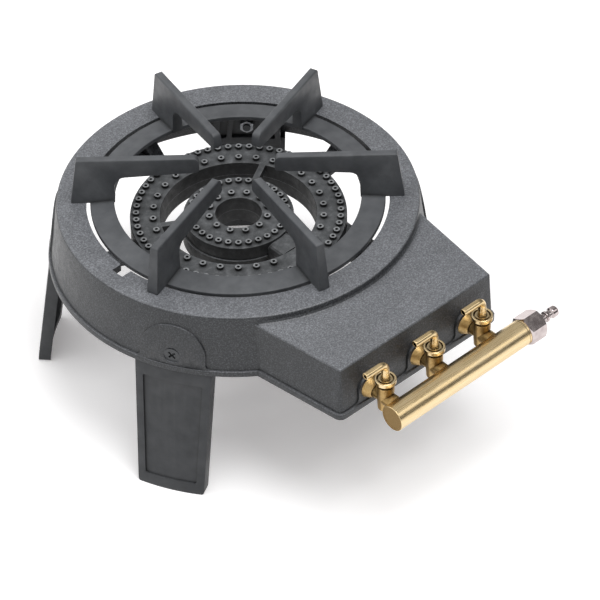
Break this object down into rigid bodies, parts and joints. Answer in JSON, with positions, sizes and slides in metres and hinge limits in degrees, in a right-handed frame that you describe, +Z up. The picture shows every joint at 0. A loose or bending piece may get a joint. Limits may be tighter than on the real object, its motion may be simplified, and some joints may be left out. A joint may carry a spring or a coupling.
{
  "type": "gas_stove",
  "caption": "Cast iron gas stove: round drum with a lift-off pan support and ring burners, on splayed legs, with brass plug taps on a manifold and a hose tail",
  "frame": {"origin": "on the ground under the middle of the whole stove", "axes": "+Z up, -Y the front with the taps, +X the side where the hose leaves"},
  "size_m": [0.393, 0.4948, 0.256],
  "materials": {
    "sand_cast_paint": "sand-cast iron with speckled grey-black paint",
    "grate_iron": "smooth dark grey cast iron",
    "leg_paint": "smooth dark grey painted cast iron",
    "burner_iron": "near-black cast iron",
    "steel": "zinc-plated steel",
    "black_steel": "blackened steel screws",
    "cast_brass": "rough cast brass",
    "brass": "drawn brass with fine streaks",
    "plated_steel": "bright plated steel",
    "seal": "fibre sealing washer"
  },
  "bodies": {
    "stove": {"body_casting": "sand_cast_paint", "outer_burner_head": "burner_iron", "outer_burner_base": "burner_iron", "inner_burner_head": "burner_iron", "inner_burner_base": "burner_iron", "outer_burner_screws": "steel", "inner_burner_screws": "steel", "burner_lug_screws": "steel", "mixing_tube_left": "burner_iron", "mixing_tube_centre": "burner_iron", "mixing_tube_right": "burner_iron", "leg_front_left": "leg_paint", "leg_front_right": "leg_paint", "leg_rear_left": "leg_paint", "leg_rear_right": "leg_paint", "leg_screws": "black_steel", "leg_nuts": "steel", "tap_body_left": "cast_brass", "tap_body_centre": "cast_brass", "tap_body_right": "cast_brass", "tap_cap_left": "brass", "tap_cap_centre": "brass", "tap_cap_right": "brass", "tap_spring_washers": "steel", "tap_lock_nuts": "steel", "injectors": "brass", "manifold_tube": "brass", "manifold_end_plug": "brass", "hose_adapter": "brass", "hose_seal": "seal", "hose_nut": "plated_steel", "hose_tail": "plated_steel"},
    "pan_support": {"pan_support": "grate_iron"},
    "tap_left": {"tap_plug_left": "brass", "tap_lever_left": "brass"},
    "tap_centre": {"tap_plug_centre": "brass", "tap_lever_centre": "brass"},
    "tap_right": {"tap_plug_right": "brass", "tap_lever_right": "brass"}
  },
  "joints": [
    {"name": "tap_left_turn", "type": "hinge", "parent": "stove", "child": "tap_left", "pos_m": [-0.0585, -0.2085, 0.159], "axis": [0, 0, 1], "range_deg": [0, 90]},
    {"name": "tap_centre_turn", "type": "hinge", "parent": "stove", "child": "tap_centre", "pos_m": [0.0045, -0.2085, 0.159], "axis": [0, 0, 1], "range_deg": [0, 90]},
    {"name": "tap_right_turn", "type": "hinge", "parent": "stove", "child": "tap_right", "pos_m": [0.0675, -0.2085, 0.159], "axis": [0, 0, 1], "range_deg": [0, 90]},
    {"name": "pan_support_lift", "type": "slide", "parent": "stove", "child": "pan_support", "axis": [0, 0, 1], "range_m": [0, 0.08]}
  ]
}
